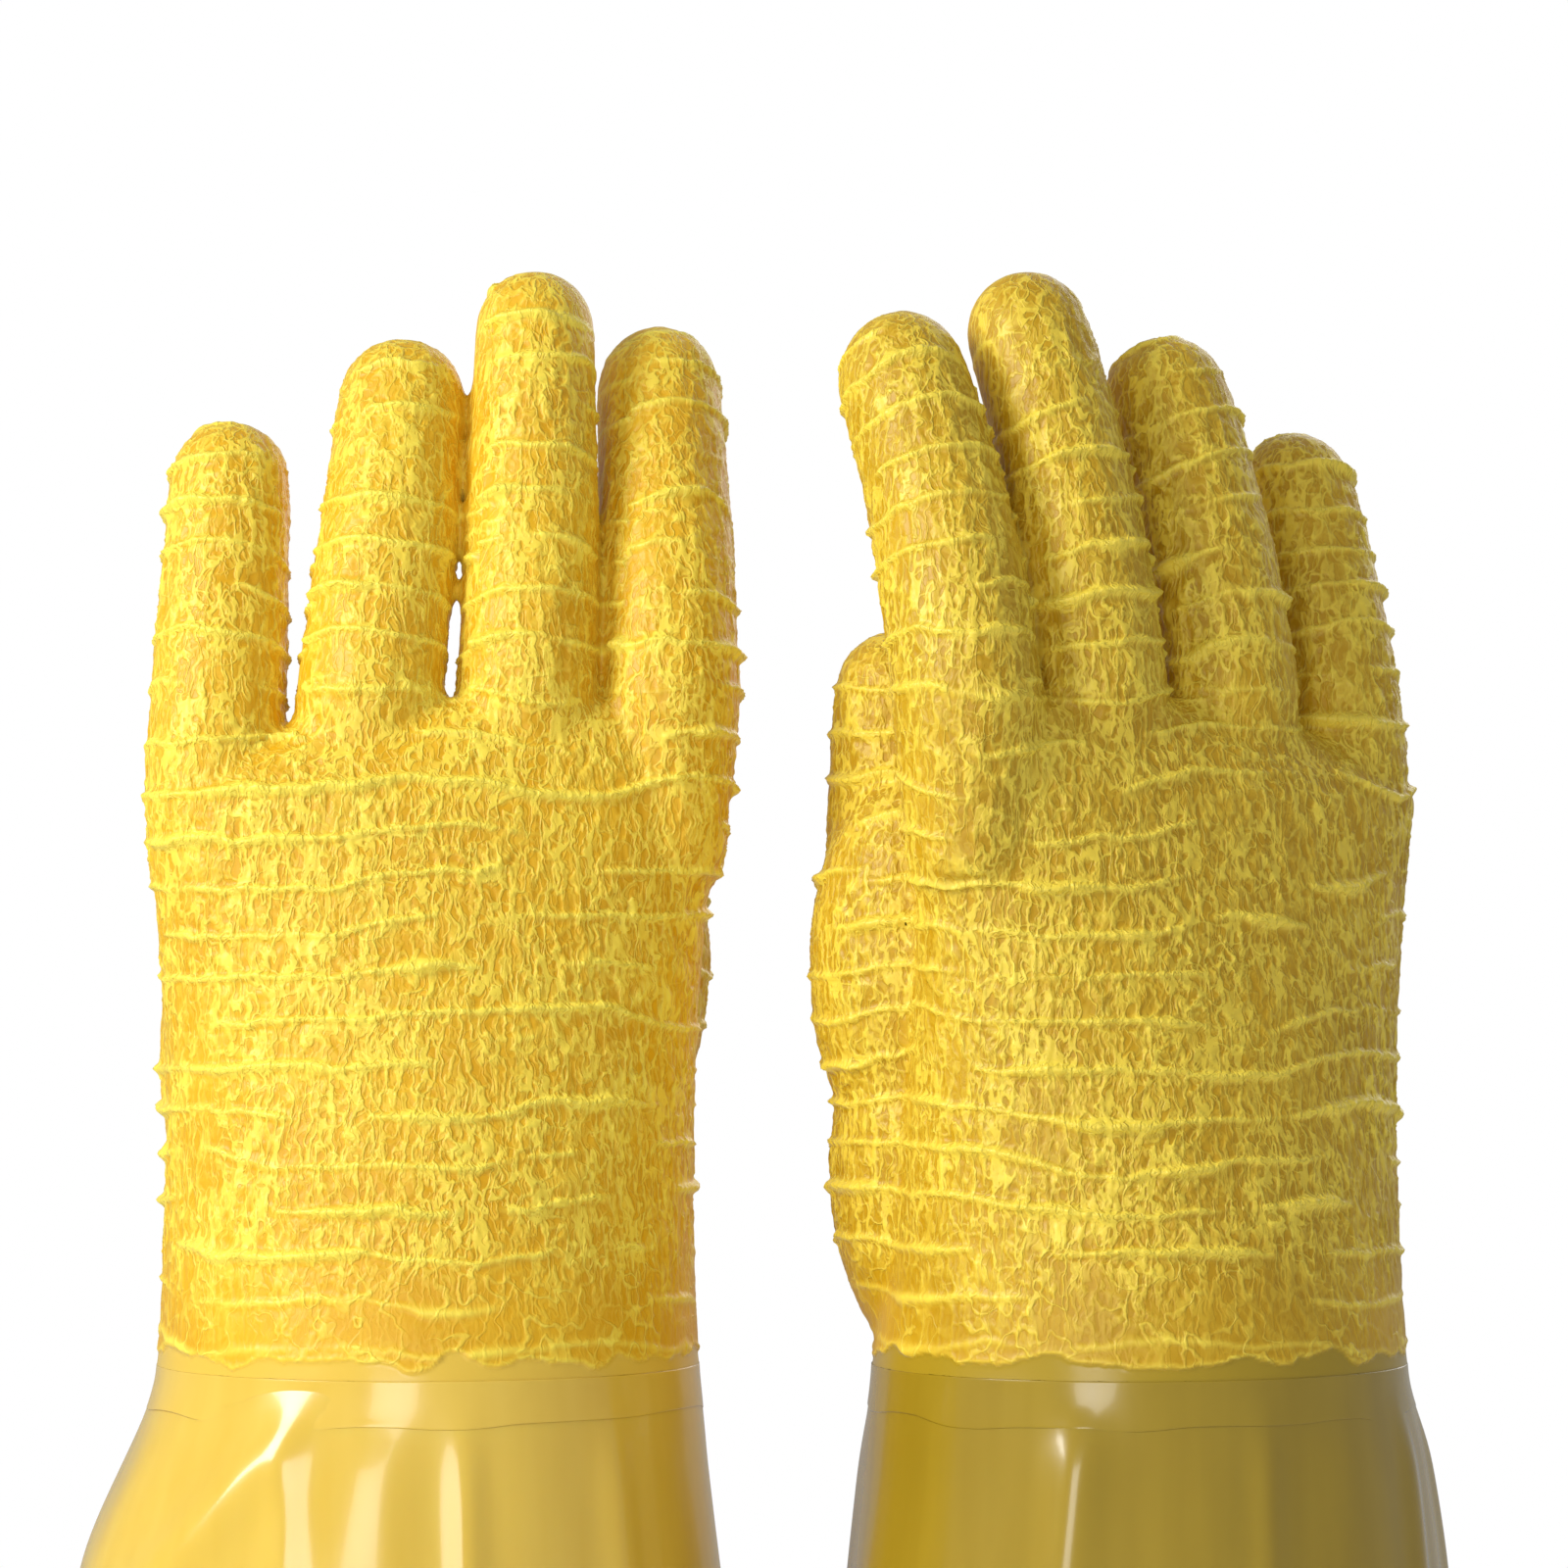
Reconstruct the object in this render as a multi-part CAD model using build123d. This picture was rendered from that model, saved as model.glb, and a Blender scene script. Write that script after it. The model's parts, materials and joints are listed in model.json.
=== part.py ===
from build123d import *
import os
from dataclasses import dataclass
from math import cos, degrees, radians, sin

# A pair of long rubber gloves that stand on their cuffs with the fingers up, in millimetres.
#
# Each glove is made as a right hand in its own frame: the origin is the middle of the cuff's mouth,
# +Z is up, the thumb is towards -X, the palm faces +Y and the back of the hand faces -Y. The left
# glove is the mirror image. Each is then turned about +Z and moved to its place in the pair.
# The rubber is soft, so each glove rests with its own tilt and bend in each digit.

# ---- driving sizes of a glove
CUFF_LENGTH = 142.0  # from the mouth up to the edge of the crinkled coat, at the wrist
PALM_LENGTH = 114.0  # from the coat's edge up to the knuckle line
CUFF_HALF_WIDTH = 69.5
CUFF_HALF_DEPTH = 60.0
CUFF_OUTWARD = 3.0  # the mouth's middle lies this far towards the little finger's side
WRIST_HALF_WIDTH = 54.3
WRIST_HALF_DEPTH = 52.0
KNUCKLE_HALF_WIDTH = 57.5
KNUCKLE_HALF_DEPTH = 19.0
KNUCKLE_BACKSET = 11.0  # the knuckles lie this far behind the wrist's middle, towards the back
WRIST_WAIST = 4.0  # how far the palm's sides draw in above the wrist

# ---- rubber
SHELL_WALL = 1.6  # insulating shell
COAT_WALL = 0.9  # crinkled grip coat over the hand
DIP_WALL = 0.5  # thin margin of the coat's first dip, below its edge
DIP_HEIGHT = 9.0
BEAD_HEIGHT = 5.0  # rolled bead round the cuff's mouth
BEAD_STANDOUT = 1.4  # past each side of the shell's wall
BEAD_ROUNDING = 1.9

# ---- the pair
GLOVE_SPACING = 142.0  # between the two wrists' middles
LEFT_YAW = 8.0  # degrees, anticlockwise from above
RIGHT_YAW = 30.0
BODY_GAP = 0.5  # clear space between pieces that turn against each other

# ---- how the solids are drawn
FLARE_STATIONS = ((0.0, 1.0), (0.35, 0.94), (0.70, 0.70), (0.85, 0.34), (1.0, 0.0))
PALM_STATIONS = (0.0, 0.25, 0.5, 0.75, 1.0)
DIGIT_STATIONS = (0.17, 0.33, 0.5, 0.67, 0.83, 1.0)
DOME_ANGLES = (15.0, 30.0, 45.0, 60.0, 75.0, 84.0)
CUT_THROUGH = 1.0  # how far a hollow runs past the face that it opens


@dataclass(frozen=True)
class Digit:
    """A finger or the thumb: the middle of its root, its length and its thickness there."""

    name: str
    root_x: float
    root_y: float
    root_rise: float  # above the knuckle line
    length: float
    half_width: float
    half_depth: float
    stub: float  # how far its root runs down inside the palm
    stub_flare: float  # how much thicker the root is at its lower end


@dataclass(frozen=True)
class Rest:
    """How a digit rests, in degrees."""

    tilt: float  # to the palm side, at its root
    bend: float  # further to the palm side, by its tip
    lean: float  # towards the little finger's side


TIP_RATIO = 0.87  # a digit's thickness below its tip, as a share of that at its root

DIGITS = (
    Digit("thumb", -40.0, 26.0, -31.0, 64.0, 14.2, 14.5, 54.0, 1.15),
    Digit("index", -47.0, -11.0, 17.0, 83.0, 14.2, 15.8, 34.0, 0.6),
    Digit("middle", -18.4, -13.0, 21.0, 87.0, 13.7, 14.0, 36.0, 0.6),
    Digit("ring", 13.0, -12.0, 19.0, 76.0, 14.4, 13.8, 34.0, 0.6),
    Digit("little", 43.5, -7.0, 5.0, 71.0, 13.6, 13.8, 24.0, 0.6),
)

LEFT_REST = {
    "thumb": Rest(13.0, -20.0, 2.0),
    "index": Rest(12.0, 24.0, -1.2),
    "middle": Rest(8.0, 16.0, -3.0),
    "ring": Rest(10.0, 18.0, -8.0),
    "little": Rest(7.0, 14.0, -4.0),
}
RIGHT_REST = {
    "thumb": Rest(13.0, -20.0, 2.0),
    "index": Rest(7.0, 29.0, -1.2),
    "middle": Rest(6.0, 25.0, -2.3),
    "ring": Rest(7.0, 23.0, -2.5),
    "little": Rest(9.0, 19.0, 0.5),
}

KNUCKLE_HEIGHT = CUFF_LENGTH + PALM_LENGTH


def between(low, high, share):
    """The value that lies the given share of the way from low to high."""
    return low + (high - low) * share


def oval(plane, half_width, half_depth, inset):
    """An oval face on a plane, smaller by inset all round."""
    return (plane * Ellipse(half_width - inset, half_depth - inset)).face()


def gauntlet_solid(inset, low, high):
    """The flared cuff as a closed solid, smaller by inset all round, between two heights."""
    sections = []
    for share, flare in FLARE_STATIONS:
        middle = Plane((CUFF_OUTWARD * flare, 0, CUFF_LENGTH * share))
        half_width = between(WRIST_HALF_WIDTH, CUFF_HALF_WIDTH, flare)
        half_depth = between(WRIST_HALF_DEPTH, CUFF_HALF_DEPTH, flare)
        sections.append(oval(middle, half_width, half_depth, inset))
    whole = loft(sections)
    reach = 4 * CUFF_HALF_WIDTH
    slab = Pos(0, 0, (low + high) / 2) * Box(reach, reach, high - low)
    return whole & slab


def palm_core(inset):
    """The palm without its digits, as a closed solid smaller by inset all round."""
    sections = []
    for share in PALM_STATIONS:
        low, high = CUFF_LENGTH + BODY_GAP / 2, KNUCKLE_HEIGHT - inset
        middle = Plane((0, -KNUCKLE_BACKSET * share, between(low, high, share)))
        waist = WRIST_WAIST * 4 * share * (1 - share)
        half_width = between(WRIST_HALF_WIDTH, KNUCKLE_HALF_WIDTH, share) - waist
        half_depth = between(WRIST_HALF_DEPTH, KNUCKLE_HALF_DEPTH, share)
        sections.append(oval(middle, half_width, half_depth, inset))
    return loft(sections)


def across(digit, rest, along):
    """The plane across a digit, the given distance along its middle line from its root.

    Above the root the middle line is an arc. Below it, inside the palm, the line is straight.
    """
    tilt = radians(rest.tilt)
    if along <= 0:
        turn = tilt
        out, up = along * sin(tilt), along * cos(tilt)
    else:
        radius = digit.length / radians(rest.bend)
        turn = tilt + along / radius
        out, up = radius * (cos(tilt) - cos(turn)), radius * (sin(turn) - sin(tilt))
    root = Location((digit.root_x, digit.root_y, KNUCKLE_HEIGHT + digit.root_rise), (0, rest.lean, 0))
    return Plane(root * Location((0, out, up), (-degrees(turn), 0, 0)))


def digit_solid(digit, rest, inset, start):
    """A digit as a closed solid with a domed tip, smaller by inset all round."""
    dome = digit.half_depth * TIP_RATIO
    body = digit.length - dome
    sections = [oval(across(digit, rest, start), digit.half_width, digit.half_depth, inset)]
    for share in DIGIT_STATIONS:
        taper = between(1, TIP_RATIO, share)
        plane = across(digit, rest, body * share)
        sections.append(oval(plane, digit.half_width * taper, digit.half_depth * taper, inset))
    for angle in DOME_ANGLES:
        plane = across(digit, rest, body + (dome - inset) * sin(radians(angle)))
        narrow = cos(radians(angle))
        half_width = (digit.half_width * TIP_RATIO - inset) * narrow
        half_depth = (dome - inset) * narrow
        sections.append(oval(plane, half_width, half_depth, 0))
    return loft(sections, ruled=True)


def stub_solid(digit, rest, inset, end):
    """A digit's root inside the palm as a closed solid, smaller by inset all round."""
    low = oval(
        across(digit, rest, -digit.stub),
        digit.half_width * digit.stub_flare,
        digit.half_depth * digit.stub_flare,
        inset,
    )
    high = oval(across(digit, rest, end), digit.half_width, digit.half_depth, inset)
    return loft([low, high])


def palm_solid(rests, inset, end):
    """The palm with the roots of its digits, as a closed solid smaller by inset all round."""
    solid = palm_core(inset)
    for digit in DIGITS:
        solid += stub_solid(digit, rests[digit.name], inset, end)
    return solid


def cuff_bead():
    """The rolled bead: a rounded ring under the cuff's wall, which the glove stands on."""
    middle = Plane((CUFF_OUTWARD, 0, 0))
    outside = oval(middle, CUFF_HALF_WIDTH, CUFF_HALF_DEPTH, -BEAD_STANDOUT)
    inside = oval(middle, CUFF_HALF_WIDTH, CUFF_HALF_DEPTH, SHELL_WALL + BEAD_STANDOUT)
    ring = extrude(outside, BEAD_HEIGHT) - extrude(inside, BEAD_HEIGHT)
    rims = ring.edges().filter_by(lambda edge: edge.length > CUFF_HALF_WIDTH)
    return fillet(rims, BEAD_ROUNDING)


def glove(rests):
    """One right-hand glove's pieces by name, in its own frame."""
    face = CUFF_LENGTH - BODY_GAP / 2
    skin = COAT_WALL + SHELL_WALL
    pieces = {}
    pieces["cuff_bead"] = cuff_bead()
    cuff = gauntlet_solid(0, BEAD_HEIGHT, face)
    pieces["gauntlet_shell"] = cuff - gauntlet_solid(SHELL_WALL, 0, CUFF_LENGTH)
    margin = gauntlet_solid(-DIP_WALL, face - DIP_HEIGHT, face)
    pieces["dip_band"] = margin - gauntlet_solid(0, 0, CUFF_LENGTH)
    palm_shell = palm_solid(rests, COAT_WALL, -BODY_GAP / 2)
    pieces["palm_coat"] = palm_solid(rests, 0, -BODY_GAP / 2) - palm_shell
    pieces["palm_shell"] = palm_shell - palm_solid(rests, skin, CUT_THROUGH)
    for digit in DIGITS:
        rest = rests[digit.name]
        shell = digit_solid(digit, rest, COAT_WALL, BODY_GAP / 2)
        coat = digit_solid(digit, rest, 0, BODY_GAP / 2)
        pieces[f"{digit.name}_coat"] = coat - shell
        pieces[f"{digit.name}_shell"] = shell - digit_solid(digit, rest, skin, -CUT_THROUGH)
    return pieces


def left_place():
    """Where the left glove's own frame stands in the pair, before the pair is centred."""
    return Location((-GLOVE_SPACING / 2, 0, 0), (0, 0, LEFT_YAW))


def right_place():
    """Where the right glove's own frame stands in the pair, before the pair is centred."""
    return Location((GLOVE_SPACING / 2, 0, 0), (0, 0, RIGHT_YAW))


def pair():
    """Every piece of both gloves by node name, with the origin under the pair's middle."""
    pieces = {}
    for name, shape in glove(LEFT_REST).items():
        pieces[f"left_{name}"] = left_place() * mirror(shape, about=Plane.YZ)
    for name, shape in glove(RIGHT_REST).items():
        pieces[f"right_{name}"] = right_place() * shape
    boxes = [shape.bounding_box() for shape in pieces.values()]
    middle_x = (min(box.min.X for box in boxes) + max(box.max.X for box in boxes)) / 2
    middle_y = (min(box.min.Y for box in boxes) + max(box.max.Y for box in boxes)) / 2
    middle = Location((-middle_x, -middle_y, 0))
    return {name: middle * shape for name, shape in pieces.items()}, middle


def main():
    """Write one STEP file for each piece."""
    os.makedirs("parts", exist_ok=True)
    pieces, _ = pair()
    for name, shape in pieces.items():
        export_step(shape, f"parts/{name}.step")
        print(name, round(shape.volume), "mm3")


if __name__ == "__main__":
    main()
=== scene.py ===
"""A pair of long rubber insulating gloves with a crinkled grip coat, standing on their cuffs."""

import json
import logging
import math
from dataclasses import dataclass
from enum import Enum
from functools import partial
from typing import Callable

import bpy
import numpy as np
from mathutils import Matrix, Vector


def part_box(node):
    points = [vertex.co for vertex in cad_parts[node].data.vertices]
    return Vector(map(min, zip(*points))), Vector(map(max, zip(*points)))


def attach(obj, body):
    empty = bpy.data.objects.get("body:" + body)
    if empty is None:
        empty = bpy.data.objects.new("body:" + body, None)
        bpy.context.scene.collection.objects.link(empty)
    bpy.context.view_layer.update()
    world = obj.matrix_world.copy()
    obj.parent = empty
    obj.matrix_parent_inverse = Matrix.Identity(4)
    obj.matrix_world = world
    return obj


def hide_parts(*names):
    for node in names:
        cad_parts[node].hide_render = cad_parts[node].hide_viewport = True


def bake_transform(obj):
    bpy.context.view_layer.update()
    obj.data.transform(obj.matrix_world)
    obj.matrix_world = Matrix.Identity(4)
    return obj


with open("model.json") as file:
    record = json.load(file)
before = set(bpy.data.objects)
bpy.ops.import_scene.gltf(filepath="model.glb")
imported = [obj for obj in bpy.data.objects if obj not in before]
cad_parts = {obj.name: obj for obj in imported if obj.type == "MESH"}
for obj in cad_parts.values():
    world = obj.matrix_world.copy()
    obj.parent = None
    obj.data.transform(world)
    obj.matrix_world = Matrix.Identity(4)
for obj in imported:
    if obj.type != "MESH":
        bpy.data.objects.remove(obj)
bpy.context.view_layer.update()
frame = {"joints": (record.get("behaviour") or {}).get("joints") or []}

LOG = logging.getLogger("gloves")
MM = 0.001  # the sizes below are in millimetres, and each mesh is made in metres
Points = np.ndarray
Piece = bpy.types.Object
PALM_SIDES, DIGIT_SIDES, CUFF_SIDES = 64, 40, 180  # how many points go round each outline


class Side(Enum):
    """Which hand a glove is for."""

    LEFT = "left"
    RIGHT = "right"


class Region(Enum):
    """The stretches of a hand that bend against each other."""

    THUMB = "thumb"
    INDEX = "index"
    MIDDLE = "middle"
    RING = "ring"
    LITTLE = "little"
    PALM = "palm"


# --- Modelling ---


@dataclass(frozen=True)
class Ring:
    """One level outline of a column: its middle and its half sizes, in millimetres."""

    x: float
    y: float
    z: float
    half_width: float
    half_depth: float


class Bench:
    """The hand tools: each method is a short run of Blender's own operators."""

    @staticmethod
    def clear() -> None:
        """Deselects every object."""
        bpy.ops.object.select_all(action="DESELECT")

    @staticmethod
    def pick(piece: Piece) -> None:
        """Makes one object the only selected and the active one."""
        Bench.clear()
        piece.select_set(True)
        bpy.context.view_layer.objects.active = piece

    @staticmethod
    def column(name: str, rings: list[Ring], sides: int, capped: bool = True) -> Piece:
        """Extrudes an oval outline up through rings.

        Args:
            name: The object's name.
            rings: The outlines from the lowest to the highest.
            sides: How many points go round.
            capped: Whether the two ends are closed.

        Returns:
            The new object, with its place in its mesh.
        """
        Bench.clear()
        low = rings[0]
        bpy.ops.mesh.primitive_circle_add(
            vertices=sides,
            radius=MM,
            fill_type="NGON" if capped else "NOTHING",
            location=(low.x * MM, low.y * MM, low.z * MM),
        )
        piece = bpy.context.active_object
        piece.name = name
        bpy.ops.object.transform_apply(location=True, rotation=True, scale=True)
        bpy.ops.object.mode_set(mode="EDIT")
        bpy.ops.mesh.select_mode(type="VERT")
        bpy.ops.mesh.select_all(action="SELECT")
        Bench._scale_at(low, low.half_width, low.half_depth)
        for below, above in zip(rings, rings[1:]):
            rise = ((above.x - below.x) * MM, (above.y - below.y) * MM, (above.z - below.z) * MM)
            bpy.ops.mesh.extrude_region_move(TRANSFORM_OT_translate={"value": rise})
            wide, deep = above.half_width / below.half_width, above.half_depth / below.half_depth
            Bench._scale_at(above, wide, deep)
        bpy.ops.mesh.select_all(action="SELECT")
        bpy.ops.mesh.normals_make_consistent(inside=False)
        bpy.ops.object.mode_set(mode="OBJECT")
        middle = np.array((low.x, low.y, low.z))
        if np.sum(Bench.normals(piece)[:, :2] * (Bench.points(piece) - middle)[:, :2]) < 0:
            Bench.flip(piece)
        return piece

    @staticmethod
    def _scale_at(ring: Ring, wide: float, deep: float) -> None:
        """Scales what is selected across a ring's middle."""
        middle = (ring.x * MM, ring.y * MM, ring.z * MM)
        bpy.ops.transform.resize(value=(wide, deep, 1), center_override=middle)

    @staticmethod
    def pad(name: str, middle: tuple, half_sizes: tuple) -> Piece:
        """Adds a rounded pad of flesh, later melted into the hand.

        Args:
            name: The object's name.
            middle: Its middle, in millimetres.
            half_sizes: Its half sizes along X, Y and Z, in millimetres.

        Returns:
            The new object, with its place in its mesh.
        """
        Bench.clear()
        place = [value * MM for value in middle]
        bpy.ops.mesh.primitive_uv_sphere_add(segments=32, ring_count=20, radius=MM, location=place)
        piece = bpy.context.active_object
        piece.name = name
        piece.scale = half_sizes
        bpy.ops.object.transform_apply(location=True, rotation=True, scale=True)
        return piece

    @staticmethod
    def join(pieces: list[Piece], name: str) -> Piece:
        """Joins objects into the first of them and names it."""
        Bench.pick(pieces[0])
        for piece in pieces[1:]:
            piece.select_set(True)
        bpy.ops.object.join()
        pieces[0].name = name
        return pieces[0]

    @staticmethod
    def modify(piece: Piece, kind: str, **settings: object) -> None:
        """Adds a modifier with its settings and applies it."""
        Bench.pick(piece)
        modifier = piece.modifiers.new(kind.lower(), kind)
        for name, value in settings.items():
            setattr(modifier, name, value)
        bpy.ops.object.modifier_apply(modifier=modifier.name)

    @staticmethod
    def part_off(piece: Piece, chosen: Points, name: str) -> Piece:
        """Copies an object and keeps only the chosen faces on the copy.

        Args:
            piece: The whole object, which stays as it is.
            chosen: One true or false value for each face.
            name: The copy's name.

        Returns:
            The copy.
        """
        copy = piece.copy()
        copy.data = piece.data.copy()
        copy.name = name
        bpy.context.scene.collection.objects.link(copy)
        copy.data.polygons.foreach_set("select", np.logical_not(chosen))
        Bench.pick(copy)
        bpy.ops.object.mode_set(mode="EDIT")
        bpy.ops.mesh.select_mode(type="FACE")
        bpy.ops.mesh.delete(type="FACE")
        bpy.ops.object.mode_set(mode="OBJECT")
        return copy

    @staticmethod
    def read(elements: bpy.types.bpy_prop_collection, name: str) -> Points:
        """One vector of each of a mesh's elements, one row each."""
        flat = np.empty(len(elements) * 3, np.float32)
        elements.foreach_get(name, flat)
        return flat.reshape(-1, 3).astype(float)

    @staticmethod
    def points(piece: Piece) -> Points:
        """The object's vertices in millimetres."""
        return Bench.read(piece.data.vertices, "co") / MM

    @staticmethod
    def normals(piece: Piece) -> Points:
        """The vertices' normals."""
        return Bench.read(piece.data.vertex_normals, "vector")

    @staticmethod
    def face_middles(piece: Piece) -> Points:
        """The faces' middles in millimetres."""
        return Bench.read(piece.data.polygons, "center") / MM

    @staticmethod
    def move_points(piece: Piece, places: Points) -> None:
        """Moves the vertices to new places in millimetres."""
        piece.data.vertices.foreach_set("co", (places * MM).astype(np.float32).ravel())
        piece.data.update()

    @staticmethod
    def note(piece: Piece, name: str, values: Points) -> None:
        """Stores one value for each vertex, for the materials to read."""
        attribute = piece.data.attributes.new(name, "FLOAT", "POINT")
        attribute.data.foreach_set("value", values.astype(np.float32))

    @staticmethod
    def smooth(piece: Piece) -> None:
        """Shades an object smooth."""
        Bench.pick(piece)
        bpy.ops.object.shade_smooth()

    @staticmethod
    def edit(piece: Piece, *operators: Callable) -> None:
        """Runs edit-mode operators in turn, each on the whole of an object."""
        Bench.pick(piece)
        bpy.ops.object.mode_set(mode="EDIT")
        for operator in operators:
            bpy.ops.mesh.select_all(action="SELECT")
            operator()
        bpy.ops.object.mode_set(mode="OBJECT")

    @staticmethod
    def flip(piece: Piece) -> None:
        """Turns an object's faces over, as a mirrored mesh needs."""
        Bench.edit(piece, bpy.ops.mesh.flip_normals)


# --- Wrinkles ---


def step(value: Points, low: float, high: float) -> Points:
    """A smooth step from 0 at low to 1 at high."""
    share = np.clip((value - low) / (high - low), 0, 1)
    return share * share * (3 - 2 * share)


def band(value: Points, low: float, risen: float, high: float, fallen: float) -> Points:
    """Rises smoothly from 0 to 1 between low and risen, and falls between high and fallen."""
    return step(value, low, risen) * (1 - step(value, high, fallen))


class Grain:
    """Seeded smooth noise in space, the same on each run."""

    def __init__(self, seed: int) -> None:
        """Keeps the seed that sets this grain apart from the others."""
        self.seed = seed

    def corner(self, x: Points, y: Points, z: Points) -> Points:
        """A value from 0 to 1 at each whole-numbered corner of space."""
        mixed = x * 374761393 + y * 668265263 + z * 1440662683 + self.seed * 974634777
        mixed = mixed & 0xFFFFFFFF
        mixed = ((mixed ^ (mixed >> 13)) * 1274126177) & 0xFFFFFFFF
        mixed = ((mixed ^ (mixed >> 16)) * 2246822519) & 0xFFFFFFFF
        return ((mixed ^ (mixed >> 15)) & 0xFFFFFF) / float(0xFFFFFF)

    def at(self, places: Points) -> Points:
        """The noise at places given in cells, from 0 to 1.

        Args:
            places: One row of three for each place.

        Returns:
            One value for each place.
        """
        whole = np.floor(places).astype(np.int64)
        part = places - whole
        part = part * part * part * (part * (part * 6 - 15) + 10)
        x, y, z = whole.T
        total = np.zeros(len(places))
        for over_x in (0, 1):
            for over_y in (0, 1):
                for over_z in (0, 1):
                    weight = np.ones(len(places))
                    for axis, over in enumerate((over_x, over_y, over_z)):
                        weight *= part[:, axis] if over else 1 - part[:, axis]
                    total += weight * self.corner(x + over_x, y + over_y, z + over_z)
        return total

    def veins(self, places: Points, sharpness: float) -> Points:
        """Thin lines where the noise crosses its middle value, from 0 to 1."""
        return np.clip(1 - np.abs(self.at(places) * 2 - 1) * sharpness, 0, 1)


@dataclass(frozen=True)
class Crinkle:
    """The crinkle of the grip coat, in millimetres.

    Crests wrap round each digit and across the hand. A net of finer wrinkles lies between them.
    """

    crest_spacing: float = 9.2
    crest_height: float = 1.25
    crest_half_width: float = 0.62
    wander: float = 2.0
    net_width: float = 2.1
    net_length: float = 6.5
    net_height: float = 0.36
    cross_height: float = 0.24
    zigzag_reach: float = 2.4
    zigzag_length: float = 8.5
    seed: int = 1

    def heights(self, places: Points, zigzag: Points, calm: Points) -> tuple[Points, Points]:
        """How far the coat stands up, and how pale it is.

        Args:
            places: Each vertex as sideways, depthwise and lengthwise places in millimetres.
            zigzag: From 0 to 1, how much the wrinkles run in zigzags.
            calm: From 0 to 1, how far the wrinkles have faded out.

        Returns:
            The heights in millimetres, and the paleness from 0 to 1.
        """
        slow = (Grain(self.seed).at(places / 26.0) - 0.5) * 2
        quick = (Grain(self.seed + 1).at(places / 5.5) - 0.5) * 2
        tiny = (Grain(self.seed + 2).at(places / 1.9) - 0.5) * 2
        along = places[:, 2] + self.wander * slow * 1.6 + 0.75 * quick + 0.2 * tiny
        cell = np.round(along / self.crest_spacing)
        away = along - cell * self.crest_spacing
        shift = np.column_stack((cell * 3.7, cell * 1.3, cell))
        strength = Grain(self.seed + 3).at(places / np.array((17.0, 17.0, 60.0)) + shift)
        bold = step(strength, 0.60, 0.85)
        kept = step(strength, 0.28, 0.50)
        half_width = self.crest_half_width * (1 + 0.8 * bold)
        crest = kept * np.exp(-((away / half_width) ** 2)) * (0.75 + 0.7 * bold)
        hollow = kept * np.exp(-((away / (half_width * 3.2)) ** 2))
        wave = (np.abs((places[:, 2] / self.zigzag_length) % 1 - 0.5) * 4 - 1) * self.zigzag_reach
        warp = np.column_stack((quick * 0.9 + wave * zigzag * (0.5 + slow), slow * 0.8, tiny * 0.5))
        stretch = np.array((self.net_width, self.net_width, self.net_length))
        net = Grain(self.seed + 4).veins((places + warp) / stretch, 3.4)
        finer = Grain(self.seed + 5).veins((places + warp * 1.4) / (stretch * 0.62), 2.6)
        lean = places + places[:, [2, 0, 0]] * 0.45
        cross = Grain(self.seed + 6).veins((lean + warp) / np.array((4.6, 3.2, 3.1)), 4.2)
        patchy = step(Grain(self.seed + 7).at(places / 9.0), 0.25, 0.7)
        still = 1 - calm
        height = crest * self.crest_height * (1 - calm * 0.75) - hollow * 0.18
        height += self.net_height * net * (0.55 + 0.45 * patchy) * still
        height += self.net_height * 0.45 * finer * still
        height += self.cross_height * cross * (0.35 + 0.65 * patchy) * (1 - 0.35 * calm)
        pale = np.clip(crest * 1.3 * (1 - calm * 0.5), 0, 1)
        lines = (0.16 * net * (0.5 + 0.5 * patchy) + 0.05 * finer) * still
        lines += 0.32 * cross * patchy * (1 - 0.35 * calm)
        return height, np.maximum(pale, np.clip(lines, 0, 1))


# --- The hand's form ---


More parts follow.
